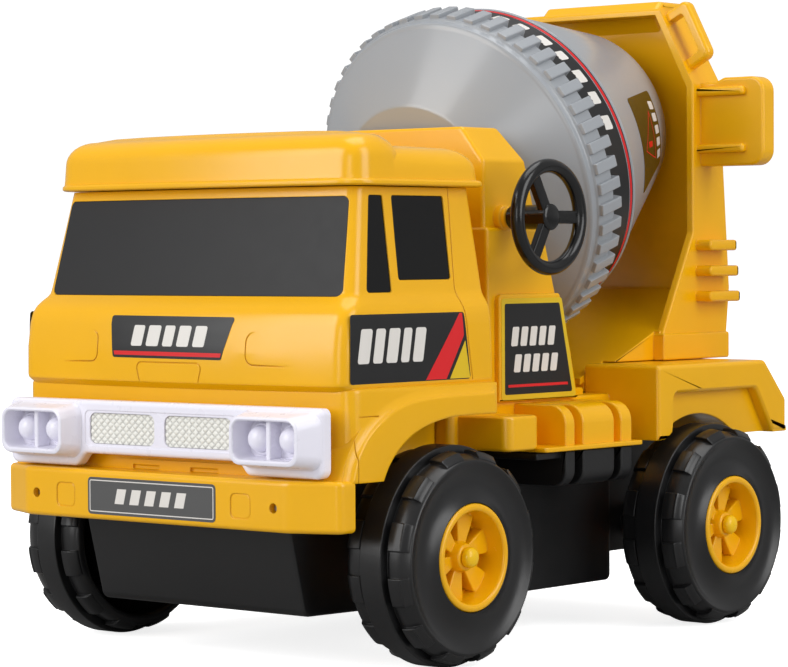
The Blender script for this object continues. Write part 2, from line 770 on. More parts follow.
LIP_LEVELS = [(164.2, 72.8, -112.6, -38.9), (164.4, 73.3, -113.1, -38.5),
              (164.8, 73.6, -113.4, -38.3), (165.7, 73.6, -113.4, -38.3),
              (166.2, 73.3, -113.1, -38.5), (166.5, 72.8, -112.6, -38.9)]
LOW_CROWN = [(165.0, 72.4, -111.9, -39.6), (166.6, 72.3, -111.7, -39.8),
             *crown_arc((169.6, 72.0, -111.3, -40.3), rise=8.2, depth=9.0, front_rate=1,
                        rear_rate=1),
             (178.6, 54.0, -94.0, -58.0), (178.9, 40.0, -86.0, -66.0)]
HIGH_CROWN = [(166.2, 72.5, -112.0, -81.6), (168.0, 72.35, -111.8, -81.8),
              *crown_arc((173.6, 72.1, -111.4, -82.6), rise=8.4, depth=8.6, front_rate=1.15,
                         rear_rate=0.8),
              (183.0, 54.0, -99.8, -90.6), (183.4, 40.0, -98.6, -91.4)]
roof = roof_loft(LIP_LEVELS, lambda width: 12)
join(roof, roof_loft(LOW_CROWN, lambda width: 11 if width > 60 else 8),
     roof_loft(HIGH_CROWN, lambda width: max(1.5, 9 - 0.62 * (72.1 - width))))
cut(roof, slab(rect(-62, 62, -100, -50), "z", 160, 172))
done(roof, "roof_cap", **YELLOW_PART, node="cab_roof", sharp=30)

# ---- light bar: outlines are (x, z) -------------------------------------------------
BAR = rounded([(-75.0, 67.0), (-41.0, 67.0), (-37.0, 71.6), (37.0, 71.6), (41.0, 67.0),
               (75.0, 67.0), (75.0, 90.4), (-75.0, 90.4)],
              [3.4, 3.5, 3.5, 3.5, 3.5, 3.4, 2.4, 2.4], 6)
HOOD_BASE = rounded(rect(38.8, 74.0, 70.4, 88.8), 4.4, 6)
HOOD_RIM = rounded(rect(40.2, 71.4, 71.2, 87.6), 4.4, 6)
HOLE_RIM = rounded(rect(42.2, 69.4, 73.2, 86.0), 3.2, 6)
HOLE_END = rounded(rect(42.8, 68.8, 73.8, 85.5), 2.8, 6)
# radius, height
LAMP = [(0, 0), (5.5, 0), (5.5, 1.0), (5.1, 1.4), (4.6, 1.4), (4.5, 1.0), (4.4, 2.2), (4.1, 3.3),
        (3.5, 4.3), (2.6, 5.1), (1.35, 5.6), (0, 5.75)]
MESH_WINDOWS = {"left": rounded(rect(2.4, 34.2, 75.2, 86.0), 2.8, 6),
                "right": rounded(rect(-34.2, -2.4, 75.2, 86.0), 2.8, 6)}


def hood():
    base, rim = ccw(HOOD_BASE), ccw(HOOD_RIM)
    middle = [tuple(Vector(p) * 0.5 + Vector(q) * 0.5) for p, q in zip(base, rim)]
    return stack([(inset(base, -0.8), -128.6), (inset(base, -0.5), -129.6),
                  (inset(base, 0.1), -130.3), (middle, -133.6), (rim, -136.3),
                  (inset(rim, 0.25), -137.0), (inset(rim, 0.8), -137.3)], "y")


def hood_hole():
    rim = ccw(HOLE_RIM)
    return stack([(inset(rim, -0.9), -138.0), (inset(rim, -0.6), -137.3),
                  (inset(rim, -0.15), -136.9), (rim, -136.2), (ccw(HOLE_END), -128.9)], "y")


def lamp(x):
    return moved(revolve(LAMP, 48), shift(x, -128.7, 79.8) @ FORWARD)


bar = slab(BAR, "y", -129.2, -124.7, 1.5, 0.2, 4)
join(bar, *both(hood))
cut(bar, *both(hood_hole))
# an upright divider and two lamps in each hood
join(bar, *both(box, (54.8, 56.8), (-134.6, -127.6), (72.4, 87.2), 0.5), *both(lamp, 48.8),
     *both(lamp, 63.0))
# recessed panel between the hoods, then the two mesh windows
cut(bar, slab(rounded(rect(-36.4, 36.4, 74.2, 86.9), 2.0, 4), "y", -140, -129.0, 0.2))
cut(bar, *[slab(window, "y", -140, -127.7) for window in MESH_WINDOWS.values()])
done(bar, "light_bar_moulding", "truck_body", "white_plastic", WHITE, "light_bar", sharp=30)


def mesh_insert(outline, columns=104, rows=38, margin=0.1):
    """A pad with a woven diamond relief, trimmed to the rounded window."""
    xs, zs = zip(*outline)
    x0, x1 = min(xs) - margin, max(xs) + margin
    z0, z1 = min(zs) - margin, max(zs) + margin
    bm = bmesh.new()
    grid = []
    for i in range(columns + 1):
        column = []
        for j in range(rows + 1):
            x, z = x0 + (x1 - x0) * i / columns, z0 + (z1 - z0) * j / rows
            rising, falling = x / 3.05 + z / 2.6, x / 3.05 - z / 2.6
            edge = max(abs((rising % 1) - 0.5) * 2, abs((falling % 1) - 0.5) * 2)
            height = 0.42 * (1 - edge ** 5) - (0.20 if edge > 0.9 else 0.0)
            column.append(bm.verts.new((x, -128.15 - height, z)))
        grid.append(column)
    for i in range(columns):
        for j in range(rows):
            bm.faces.new((grid[i][j], grid[i + 1][j], grid[i + 1][j + 1], grid[i][j + 1]))
    for vert in extrude(bm):
        vert.co.y = -126.6
    trim = slab(inset(ccw(outline), 0.12), "y", -132, -127.75)
    return combine(to_object(bm), [trim], "INTERSECT")


for hand, window in MESH_WINDOWS.items():
    done(mesh_insert(window), f"grille_mesh_{hand}", "truck_body", "pearl_plastic", PEARL,
         f"grille_insert_{hand}", sharp=50, weighted=False)

# ---- bumper -------------------------------------------------------------------------
bumper = slab(rounded([(-80, -117.8), (-80, -125.4), (-62, BUMPER_FRONT), (62, BUMPER_FRONT),
                       (80, -125.4), (80, -117.8)], [1.0, 3.6, 9.0, 9.0, 3.6, 1.0], 6),
              "z", 49, 66.4, 1.7, 1.7, 4)


def bumper_hole():
    return moved(rod(1.7, 0, 11, 32), shift(56.9, -138, 57.15) @ REARWARD)


# round holes, and sunk squares with a raised pad in each
cut(bumper, *both(bumper_hole),
    *both(slab, rounded(rect(37.4, 46.6, 52.9, 61.4), 2.0, 5), "y", -140, -133.05, 0, 0.2))
join(bumper, *both(slab, rounded(rect(37.75, 46.25, 53.25, 61.05), 1.8, 5), "y", -133.2, -130,
                   0.12, 0))
cut(bumper, slab(rect(-70, 70, -118.4, -110), "z", 40, 70))
done(bumper, "bumper", **YELLOW_PART, node="front_bumper", sharp=28)


# ---- chassis: outlines along x are (y, z) -------------------------------------------
TANK_BANDS = ((-4, 1.6), (6.3, 25.5), (29.6, 36.4))   # y ranges of the raised bands


def tank(core, band, band_edge, *extras):
    """Half a side tank with three raised bands; core and band are (x, z) outlines."""
    return join(slab(core, "y", -3.2, 35.6, 0.4),
                *[slab(band, "y", low, high, band_edge) for low, high in TANK_BANDS], *extras)


def tank_low():
    return tank(rounded([(46, 61.2), (76.4, 61.2), (76.4, 70.0), (46, 70.0)], [0, 5, 0.3, 0], 5),
                rounded([(46, 57.2), (80.6, 57.2), (80.6, 70.0), (46, 70.0)],
                        [0, 7.5, 0.3, 0], 6),
                0.9, box((46, 78), (-17.8, -3), (67.4, 70.0), 0.6))


# x, y, top z
POSTS = [(-POST_X, -98, 64.7), (POST_X, -98, 64.7), (-POST_X, REAR_POST_Y, 70),
         (POST_X, REAR_POST_Y, 70)]

chassis = slab(rounded([(-117, 49), (-109, 18), (10, 16), (66, 16), (66, 70), (-40.8, 70),
                        (-40.8, 65), (-117, 65)], [2.5, 3.5, 0, 2.5, 0.6, 0.6, 0.6, 0.8], 4),
               "x", -49, 49, 1.2)
join(chassis, slab(rounded([(60, 30), (72, 26), (100, 26), (126, 52), (126, 70), (60, 70)],
                           [0, 2, 3, 3, 0.6, 0], 4), "x", -44, 44, 1.2))
join(chassis, *both(tank_low))
# hollow from above
cut(chassis, slab([(-114.2, 50), (-106.6, 20.4), (10, 18.6), (63.4, 18.6), (63.4, 80),
                   (-114.2, 80)], "x", -46.4, 46.4),
    slab([(65, 33), (73, 28.6), (99, 28.6), (123.4, 53), (123.4, 80), (65, 80)],
         "x", -41.4, 41.4))
axle_bosses = [moved(rod(6.2, 42, 63.8, 48, 0.5), sideways(side, y, AXLE_Z))
               for y in AXLES.values() for side in (-1, 1)]
posts = [moved(rod(5.4, 17.6, top - 0.2, 32), shift(x, y)) for x, y, top in POSTS]
ribs = [slab(rect(-47, 47, y - 0.9, y + 0.9), "z", 18.2, 44) for y in (-84, -58, -8, 14)]
join(chassis, *axle_bosses, *posts, *ribs)
# a wide and a narrow bore up each post, and the axle holes
cut(chassis, *[moved(rod(radius, 10, high, 30), shift(x, y)) for x, y, top in POSTS
               for radius, high in ((3.5, top - 8), (1.9, 90))],
    *[moved(rod(2.35, -70, 70, 44), sideways(1, y, AXLE_Z)) for y in AXLES.values()])
done(chassis, "chassis_tub", "truck_body", "black_plastic", BLACK, "chassis_base", sharp=28)


# ---- upper deck, side tanks, rear platform ------------------------------------------
def tank_high():
    return tank(rounded([(46, 71), (76.4, 71), (76.4, 82.4), (46, 82.4)], [0, 0.3, 6, 0], 6),
                rounded([(46, 71), (80.6, 71), (80.6, 86.6), (46, 86.6)], [0, 0.3, 9.5, 0], 8),
                1.0, box((46, 80), (-36.4, -17.7), (71.4, 83.8), 1.3, corner=4.0),
                box((46, 82.8), (-18.4, 40.6), (70.35, 72.1), 0.5, corner=1.5))


# shallow panel above the rear wheel, with a rounded lip at the outer face
REAR_ARCH = rounded([(61.8, 60), (64.5, 77.5), (64.8, 88.2), (119.7, 88.2), (131.3, 71.1),
                     (131.3, 60)], [0, 2, 2.5, 3, 1.5, 0], 5)
REAR_ARCH_LEVELS = [(75.5, 0), (78.2, 0), (78.9, 0.13), (79.5, 0.5), (79.95, 1.15), (80.4, 2.2)]


def rear_well():
    """The round wheel well behind the panel."""
    profile = [(0, 46), (41.5, 46), (41.5, 75.0), (41.7, 75.4), (42.4, 75.9), (42.4, 90), (0, 90)]
    return moved(revolve(profile, 120), sideways(1, AXLES["rear"], AXLE_Z))


deck = box((-57, 57), (-40.4, 60), (70.35, 88.0), 1.3, corner=3.0)
join(deck, box((-50, 50), (-26, 48.5), (80, 90.4), 1.0, corner=2.0),
     slab(rounded([(54.2, 70.8), (54.2, 99), (126.2, 99), (141, 83.4), (141, 70.8)],
                  [0.4, 1.8, 3.0, 2.4, 0.4], 5), "x", -80, 80, 1.8, 1.8, 4))
join(deck, *both(tank_high))
cut(deck, *both(grown_loft, REAR_ARCH, REAR_ARCH_LEVELS))
cut(deck, *both(rear_well))
# the bay open above, between the platform's sides, then the hollows below
cut(deck, slab(rect(-45.8, 45.8, 49, 122), "z", 88.0, 110),
    slab(rect(-54.5, 54.5, -38, 51.6), "z", 60, 85.5),
    slab([(51, 60), (51, 85.5), (122, 85.5), (138.4, 82), (138.4, 60)], "x", -43.4, 43.4))
join(deck, *[moved(rod(5.0, 70.4, 86.5, 32), shift(x, REAR_POST_Y)) for x in (-POST_X, POST_X)])
cut(deck, *[moved(rod(1.9, 60, 84, 30), shift(x, REAR_POST_Y)) for x in (-POST_X, POST_X)])
# lip strips under the tail
join(deck, *both(box, (46, 79.6), (131.8, 141.6), (70.5, 72.2), 0.5))
done(deck, "deck_moulding", **YELLOW_PART, node="upper_deck", sharp=28)

# ---- gear tower ---------------------------------------------------------------------
COVER_PLANE = -24.6                  # along the drum axis
COVER_SCREWS = [DRUM @ shift(x, 42.0) for x in (-46.6, 46.6)]


def cover_y(z):
    """Where the tilted plane of the cover passes height z."""
    return DRUM_Y + (COVER_PLANE - (z - DRUM_Z) * math.sin(TILT)) / math.cos(TILT)


def shaft_bosses(*size):
    return [moved(rod(*size), sideways(side, SHAFT_Y, SHAFT_Z)) for side in (-1, 1)]


tower = slab(rounded([(-55, 88.3), (55, 88.3), (55, 174.6), (45, 187), (-45, 187), (-55, 174.6)],
                     [0, 0, 2.6, 2.6, 2.6, 2.6], 5), "y", -19, 40, 1.4, 0, 4)
join(tower, slab(rounded([(-57.3, 88.3), (57.3, 88.3), (57.3, 150.5), (-57.3, 150.5)],
                         [0, 0, 1.6, 1.6], 4), "y", -19.8, 40, 1.3, 0, 4))
# raised pads under the side labels
join(tower, *both(slab, rounded([(-15.6, 87.4), (31.6, 87.4), (22.0, 126.4), (-15.6, 126.4)],
                                [0.4, 0.4, 2.5, 2.5], 5), "x", 55, TOWER_PAD_X, 0, 0.9, 3))
# everything behind the cover's plane goes
cut(tower, slab([(cover_y(60), 60), (cover_y(240), 240), (90, 240), (90, 60)], "x", -90, 90))
join(tower, *shaft_bosses(4.5, 50, 57.9, 64, 0.4))
cut(tower, slab(rect(-17, 60, 70, 184.4), "x", -43.4, 43.4),
    slab(rect(-17, 60, 70, 173.0), "x", -52.4, 52.4))
join(tower, *[moved(rod(6.4, -38, -27.7, 40), screw) for screw in COVER_SCREWS],
     *shaft_bosses(3.8, 50, 59.6, 48, 0.3))
cut(tower, moved(revolve([(0, -60.4), (2.8, -60.4), (2.8, 61.3), (0, 61.3)], 40, phase=0.1),
                 sideways(1, SHAFT_Y, SHAFT_Z)),
    *[moved(rod(1.9, -35.5, -20, 30), screw) for screw in COVER_SCREWS])
done(tower, "tower_shell", **YELLOW_PART, node="gear_tower", sharp=28)

# ---- rear stand ---------------------------------------------------------------------
HOLLOW = [(-52.0, 90), (52.0, 90), (52.0, 205.9), (37.0, 235.0), (-37.0, 235.0), (-52.0, 205.9)]
# z, rear y
LADDER_BARS = ((143.9, 133.1), (133.8, 134.4), (123.8, 135.5))


def ladder():
    """Three short bars on the side of the stand."""
    return merged([slab(rounded(rect(114.6, rear, z - 2.1, z + 2.1), [1.9, 0.5, 0.5, 1.9], 6),
                        "x", 52.5, 62.2, 0, 1.2, 3) for z, rear in LADDER_BARS])


def ear():
    """The plate standing out at the side, with two bars on its front."""
    plate = slab(rounded([(52.5, 174.9), (84.4, 174.9), (84.4, 209.4), (65.6, 209.4),
                          (61.8, 207.7), (52.5, 207.7)], [0, 6, 6, 1.5, 1.5, 0], 8),
                 "y", 118.2, 126.4, 1.2, 1.2, 4)
    bars = [slab(rounded(rect(53, 76.4, z - 1.7, z + 1.7), [0.3, 1.2, 1.2, 0.3], 4),
                 "y", 115.6, 119.6, 1.3, 0, 4) for z in (181.7, 204.0)]
    return join(plate, *bars)


def grip():
    """Loop handle on the chamfer: drawn with x down the slope, -y away from it and z to the
    rear, then laid in place."""
    run, fall = 0.4636, 0.8860       # direction of the slope
    start, end, leg = 3.4, 29.0, 4.0
    outer = rounded([(start, -1.5), (start, 11.2), (end, 11.2), (end, -1.5)],
                    [0, 3.2, 3.2, 0], 6)
    inner = rounded([(start + leg, -3), (start + leg, 7.2), (end - leg, 7.2), (end - leg, -3)],
                    [0, 1.6, 1.6, 0], 5)
    loop = slab([(x, -y) for x, y in outer], "z", 0, 5.0, 1.6, 1.6, 4)
    cut(loop, slab([(x, -y) for x, y in inner], "z", -3, 8))
    return moved(loop, Matrix(((run, -fall, 0, 38.2), (0, 0, 1, 115.6), (-fall, -run, 0, 238.8),
                               (0, 0, 0, 1))))


stand = slab(rounded([(91.0, 99.4), (92.4, 109.7), (113, 148.8), (113, 237.6), (131.0, 237.6),
                      (134.5, 176), (138.6, 127), (136.4, 109), (135.7, 99.4)],
                     [0, 2, 4, 1.2, 2.2, 6, 6, 4, 0], 4), "x", -55, 55, 1.0)
# chamfer the two upper corners, then hollow from the front
cut(stand, *both(slab, [(37.6, 239.9), (80, 239.9), (80, 206.7), (55, 206.7)], "y", 60, 180))
cut(stand, loft([[(x, 60, z) for x, z in HOLLOW],
                 [(x, 128.2 + (234.6 - z) * 0.066, z) for x, z in HOLLOW]]))
# sloping floor: a long plate, a wider short one, the block under them, side cheeks and blocks
join(stand,
     slab([(51.5, 90.9), (51.5, 93.4), (129.5, 126.4), (133.0, 126.4), (133.0, 121.0),
           (124.0, 121.0)], "x", -45.3, 45.3),
     slab([(92.0, 107.0), (92.0, 110.5), (129.5, 126.4), (136, 126.4), (136, 121.0),
           (124.0, 121.0)], "x", -53.5, 53.5),
     slab([(54.0, 88.4), (54.0, 94.4), (129.5, 126.4), (129.5, 99.3), (70.0, 99.3),
           (70.0, 88.4)], "x", -45.3, 45.3),
     *both(slab, [(66.4, 99.3), (66.4, 99.7), (129.5, 126.4), (133.0, 126.4), (133.0, 99.3)],
           "x", 44, 51.2, 0, 0.5, 3),
     *both(box, (50, 56.4), (91.2, 136.2), (99.3, 109.6), 0.9))
# the last piece is the ledge that leans out behind the top
join(stand, *both(ladder), *both(ear), *both(grip),
     slab(rounded([(124, 236), (125.5, 238.5), (129, 241.8), (145, 241.8), (145, 238.6),
                   (134, 226), (131, 226)], [0, 0.6, 1.2, 1.4, 1.0, 1.0, 0], 4),
          "x", -29.4, 29.4, 2.2, 2.2, 4))
# hole on the drum axis, with a wider bore behind
cut(stand, moved(rod(3.3, 80, 120, 40), DRUM), moved(rod(7.0, 104.6, 120, 40), DRUM))
done(stand, "stand_shell", **YELLOW_PART, node="rear_stand", sharp=28)

# ---- drum: profiles are (radius, distance along the drum axis) ------------------------
FRONT_SHELL = [
    (4.3, -21.6), (36.8, -21.6), (37.7, -21.2), (38.3, -20.7), (61.9, -1.5), (62.7, -1.1),
    (63.4, -0.8), (63.9, -0.2), (64.0, 0.5), (64.05, 1.3), (64.3, 1.9), (64.9, 2.3), (65.1, 2.7),
    (65.1, 11.9), (64.9, 12.25), (62.5, 12.5), (62.3, 12.7), (62.2, 15.4), (61.9, 15.6),
    (61.5, 27.6), (61.1, 27.9), (59.2, 27.9), (59.4, 1.6), (36.6, -19.3), (4.3, -19.3)]
CONE_SHELL = [
    (59.6, 28.2), (61.1, 28.2), (61.3, 28.4), (61.25, 30.2), (61.5, 30.5), (61.75, 31.0),
    (61.6, 31.6), (61.1, 32.0), (60.5, 32.3), (37.0, 90.4), (36.4, 91.2), (35.4, 91.6),
    (3.3, 91.6), (3.3, 89.3), (34.0, 89.3), (58.4, 30.0)]
RING_FILMS = [
    ("drum_band_film", VINYL_BLACK,
     [(62.0, 12.6), (62.55, 12.7), (62.45, 15.3), (62.2, 15.75), (61.72, 27.5), (61.2, 27.6)]),
    ("drum_red_line", VINYL_RED, [(61.2, 28.45), (61.5, 28.5), (61.5, 29.6), (61.2, 29.65)]),
    ("drum_black_line", VINYL_BLACK, [(61.1, 29.7), (61.45, 29.72), (61.45, 30.2), (61.1, 30.25)]),
]
DRUM_LUGS = 52
DRUM_SEGMENTS = 240


def drum_revolve(profile):
    return revolve(profile, DRUM_SEGMENTS, math.pi / DRUM_SEGMENTS)


def lug_ring():
    outline = rounded(rect(2.6, 15.1, -2.2, 2.2), 0.45, 3)   # (along the axis, across)
    swap_xz = Matrix(((0, 0, 1, 0), (0, 1, 0, 0), (1, 0, 0, 0), (0, 0, 0, 1)))
    return merged([moved(slab(outline, "z", 61.0, 66.75, 0, 0.45, 3),
                         turn(2 * math.pi * (k + 0.5) / DRUM_LUGS) @ swap_xz)
                   for k in range(DRUM_LUGS)])


front_shell = drum_revolve(FRONT_SHELL)
join(front_shell, lug_ring())
done(front_shell, "drum_front_shell", mats=GREY, node="drum_front", sharp=30, **DRUM_PART)
done(drum_revolve(CONE_SHELL), "drum_cone_shell", mats=GREY, node="drum_cone", sharp=30,
     **DRUM_PART)
for name, mat, profile in RING_FILMS:
    done(drum_revolve(profile), name, mats=mat, sharp=30, **DRUM_PART)

LABEL_RADIUS = 62.0                  # at which the labels' widths are measured
HALF_TURN = 2 * math.pi * LABEL_RADIUS / 2


def on_drum(radius):
    """Across is arc length from straight up towards +X, up the distance along the axis."""
    def place(across, up, lift):
        reach = radius(up) + lift
        angle = across / LABEL_RADIUS - math.pi / 2        # local -Y is up
        return (reach * math.cos(angle), reach * math.sin(angle), up)
    return place


def band_radius(along):
    return 61.92 - (along - 15.6) * 0.0185


def cone_radius(along):
    return 60.5 + (37.0 - 60.5) * (along - 32.3) / (90.4 - 32.3)


def cone_label(centre):
    """Olive panel with a row of blocks over a red triangle."""
    shapes = [(rounded(rect(centre - 23, centre + 23, 51, 80), 2.0, 4), VINYL_OLIVE, 0)]
    shapes += white_blocks(centre - 17.5, [4.9] * 5, 2.2, 73.4, 78.4, lean=1.2, radius=0.8)
    triangle = ccw([(centre - 13, 70.5), (centre + 14, 70.5), (centre + 4, 56)])
    shapes += border(triangle[1:] + triangle[:1],
                     inset(triangle, 0.5)[1:] + inset(triangle, 0.5)[:1], VINYL_RED)[-1:]
    shapes += border(triangle, inset(triangle, 0.5), VINYL_RED)[1:] if False else []
    return shapes


def cone_shapes(centre):
    """Olive panel with a row of blocks over a red triangle with a mark inside."""
    triangle = ccw([(centre - 13, 70.5), (centre + 14, 70.5), (centre + 4, 56)])
    mark = [(centre + 1, 61), (centre + 4, 61), (centre + 5.5, 66.5), (centre + 2.5, 66.5)]
    return [(rounded(rect(centre - 23, centre + 23, 51, 80), 2.0, 4), VINYL_OLIVE, 0),
            *white_blocks(centre - 17.5, [4.9] * 5, 2.2, 73.4, 78.4, lean=1.2, radius=0.8),
            *border(triangle, inset(triangle, 0.5), VINYL_RED),
            (rounded(mark, 0.5, 3), VINYL_RED, 1)]


band_marks = []
for start in (15.5, 15.5 + HALF_TURN):
    for i, width in enumerate((5.6, 5.0, 6.2, 4.6, 5.8, 5.2, 5.6)):
        band_marks += white_blocks(start + 10.2 * i, [width], 0, 17.0, 25.2, lean=1.4, radius=0.7)
film(band_marks, on_drum(band_radius), "drum_band_marks", steps=(2.0, None), **DRUM_PART)
film(cone_shapes(98.4) + cone_shapes(98.4 + HALF_TURN), on_drum(cone_radius),
     "drum_cone_labels", steps=(2.5, 6.0), **DRUM_PART)

# ---- handwheel: (radius, distance along the crank shaft) ------------------------------
HUB = [(0, 78.9), (0, 75.4), (2.8, 75.4), (2.8, 60.3), (3.9, 60.3), (4.3, 60.7), (4.5, 73.5),
       (4.7, 74.4), (4.7, 78.0), (4.3, 78.5), (3.4, 78.8)]
HOOP_RADIUS, HOOP_THICK, HOOP_X = 18.3, 2.55, 77
HOOP_SIDES = 28
hub = revolve(HUB, 64)
hoop_angles = [2 * math.pi * i / HOOP_SIDES for i in range(HOOP_SIDES)]
hoop = revolve([(HOOP_RADIUS + HOOP_THICK * math.cos(angle), HOOP_X + HOOP_THICK * math.sin(angle))
                for angle in hoop_angles], 128)
arms = [moved(box((3.0, 17.6), (-2.35, 2.35), (74.9, 77.7), 0.5), turn(2 * math.pi * k / 3))
        for k in range(3)]
done(join(hub, hoop, *arms), "handwheel_moulding", "handwheel_set", "black_plastic", WHEEL_BLACK,
     "handwheel", matrix=SHAFT, sharp=35)

# ---- wheels: profiles are (radius, distance out from the plane of symmetry) -----------
TYRE_PROFILE = [
    (18.75, 66.8), (21.0, 66.8), (21.2, 67.1), (21.2, 88.0), (29.8, 88.8), (32.4, 86.0),
    (32.6, 85.0), (32.6, 69.0), (30.9, 67.4), (30.6, 66.6), (30.7, 65.6), (31.3, 64.9),
    (32.3, 64.6), (33.5, 64.9), (34.4, 65.7), (35.0, 67.0), (35.2, 68.8), (35.2, 72.0),
    (34.6, 72.4), (34.5, 73.2), (35.0, 73.45), (37.4, 73.5), (37.8, 73.65), (38.0, 74.0),
    (38.0, 82.3), (37.8, 82.65), (37.4, 82.8), (35.0, 82.85), (34.5, 83.1), (34.6, 83.9),
    (35.2, 84.3), (35.2, 86.2), (35.0, 87.7), (34.5, 89.2), (33.9, 90.4), (33.5, 91.3),
    (33.1, 91.9), (32.6, 92.1), (32.0, 91.9), (30.8, 91.0), (28.8, 90.1), (26.0, 89.7),
    (23.2, 90.0), (20.8, 90.9), (19.3, 91.9), (18.75, 92.2)]
# tread blocks: over the shoulder on the outboard side, short on the inboard side
LUG_OUT = [(33.0, 84.3), (36.3, 84.3), (36.6, 84.6), (36.6, 86.4), (36.4, 87.8), (36.0, 89.0),
           (36.05, 89.3), (36.2, 89.45), (36.1, 89.75), (35.7, 89.95), (35.0, 90.6),
           (34.4, 91.2), (33.7, 91.5), (33.0, 91.3)]
LUG_IN = [(33.0, 65.5), (34.4, 65.4), (35.4, 65.9), (36.1, 66.9), (36.5, 68.2), (36.6, 69.5),
          (36.6, 71.9), (36.3, 72.2), (33.0, 72.2)]
LUG_ROOT = 33.0
TYRE_LUGS = 12
RIM_PROFILE = [
    (2.35, 65.4), (5.6, 65.4), (6.0, 65.8), (6.0, 80.5), (14.2, 80.5), (14.2, 67.0),
    (18.2, 67.0), (18.5, 67.3), (18.5, 91.9), (18.3, 92.4), (17.9, 92.75), (17.3, 92.9),
    (16.6, 92.85), (16.1, 92.5), (15.8, 92.0), (15.3, 89.0), (14.9, 86.0), (14.6, 82.4),
    (6.0, 82.4), (5.6, 86.0), (4.9, 86.9), (4.7, 88.6), (4.4, 89.0), (4.0, 89.2), (2.35, 89.2)]
RIM_BLADE = rounded([(4.2, -1.9), (13.2, -4.3), (15.4, -4.2), (15.4, 4.2), (13.2, 4.3),
                     (4.2, 1.9)], [0, 1.2, 0, 0, 1.2, 0], 4)
CAP_PROFILE = [(2.3, 89.5), (3.3, 89.5), (3.55, 89.7), (3.6, 90.2), (3.5, 91.1), (3.1, 91.9),
               (2.3, 92.4), (1.2, 92.7), (0, 92.8), (0, 90.8), (2.3, 90.8)]


def sector(section, half, steps=6):
    """The section swept round the axle over +-half, with eased end faces."""
    middle = sum(out for _, out in section) / len(section)
    ease = 0.004
    # angle, scale of the height over the root, scale of the width
    stops = [(-half - ease, 0.93, 0.985)]
    stops += [(-half + ease + (2 * half - 2 * ease) * i / steps, 1.0, 1.0)
              for i in range(steps + 1)]
    stops.append((half + ease, 0.93, 0.985))
    rings = []
    for angle, tall, wide in stops:
        ring = []
        for radius, out in section:
            reach = LUG_ROOT + (radius - LUG_ROOT) * tall
            ring.append((reach * math.cos(angle), reach * math.sin(angle),
                         middle + (out - middle) * wide))
        rings.append(ring)
    return loft(rings)


def tyre():
    tread = revolve(TYRE_PROFILE, 180)
    lugs = [moved(sector(section, math.radians(7.6)),
                  turn(math.radians(15) + 2 * math.pi * k / TYRE_LUGS))
            for k in range(TYRE_LUGS) for section in (LUG_OUT, LUG_IN)]
    return join(tread, merged(lugs))


def rim():
    """The disc is opened, then six thick blades join the boss and the barrel."""
    disc = revolve(RIM_PROFILE, 144)
    cut(disc, revolve([(6.4, 78), (13.9, 78), (13.9, 84), (6.4, 84)], 96))
    blades = [moved(slab(RIM_BLADE, "z", 80.4, 86.2, 0.3, 0.6, 3),
                    turn(math.radians(48) + math.pi / 3 * k)) for k in range(6)]
    return join(disc, *blades)


for end, y in AXLES.items():
    for side, hand in ((1, "left"), (-1, "right")):
        corner = f"{end}_{hand}"
        wheel = f"{corner}_wheel"
        hold = sideways(side, y, AXLE_Z)
        done(tyre(), f"{wheel}_tyre", wheel, "tyre", TYRE, f"{corner}_tyre", hold, sharp=30)
        done(rim(), f"{wheel}_rim", wheel, "rim", RIM_YELLOW, f"{corner}_rim", hold)
        done(revolve(CAP_PROFILE, 64), f"{wheel}_cap", "truck_body", "cap", LEMON,
             f"{corner}_axle_cap", hold, sharp=35)


# ---- printed labels (abstract blocks and stripes) -----------------------------------
def on_side(side):
    return lambda across, up, lift: (side * (side_x(up) + lift), across, up)


def on_tower(side):
    return lambda across, up, lift: (side * (TOWER_PAD_X + lift), across, up)


def on_front(across, up, lift):
    return (across, front_y(across, up) - lift, up)


def on_bumper(across, up, lift):
    return (across, BUMPER_FRONT - lift, up)


TOWER_PANEL = [(-14.4, 88.1), (30.2, 88.1), (21.4, 124.8), (-14.4, 124.8)]
PLATE = rounded(rect(-30.7, 30.7, 51.0, 63.9), 1.6, 5)

CAB_LABEL = [
    (rounded([(-117.6, 97.9), (-54.2, 97.9), (-57.6, 121.0), (-117.2, 121.0)],
             [1.2, 1.2, 1.2, 1.2], 4), VINYL_BLACK, 0),
    ([(-78.5, 98.2), (-67.5, 98.2), (-57.9, 113.0), (-58.6, 120.7), (-60.0, 120.7)],
     VINYL_RED, 1),
    ([(-65.6, 98.2), (-54.6, 98.2), (-57.2, 111.2)], VINYL_YELLOW, 1),
    *white_blocks(-114.0, (5.9, 4.9, 5.7, 4.3, 5.5), 1.9, 104.6, 116.2, lean=2.2, radius=0.9)]
TOWER_LABEL = [
    (rounded(TOWER_PANEL, 1.2, 3), VINYL_YELLOW, 0),
    (rounded(inset(ccw(TOWER_PANEL), 1.9), 0.8, 3), VINYL_BLACK, 1),
    *white_blocks(-9.0, [3.8] * 5, 1.6, 107.5, 114.5, lean=1.2, radius=0.6, layer=2),
    *white_blocks(-7.5, [3.8] * 5, 1.6, 98.0, 104.5, lean=1.2, radius=0.6, layer=2),
    ([(-10.5, 92.6), (25.0, 92.6), (24.8, 93.6), (-10.7, 93.6)], VINYL_RED, 2)]
BONNET_LABEL = [
    (rounded([(-27.4, 105.5), (24.7, 105.3), (29.8, 119.9), (-29.6, 120.1)], 1.0, 4),
     VINYL_BLACK, 0),
    ([(-26.6, 106.4), (24.4, 106.2), (24.9, 107.6), (-26.9, 107.8)], VINYL_RED, 1),
    *white_blocks(-18.5, (5.4, 6.0, 4.8, 5.6, 5.4), 2.0, 109.6, 116.8, lean=1.4, radius=0.7)]
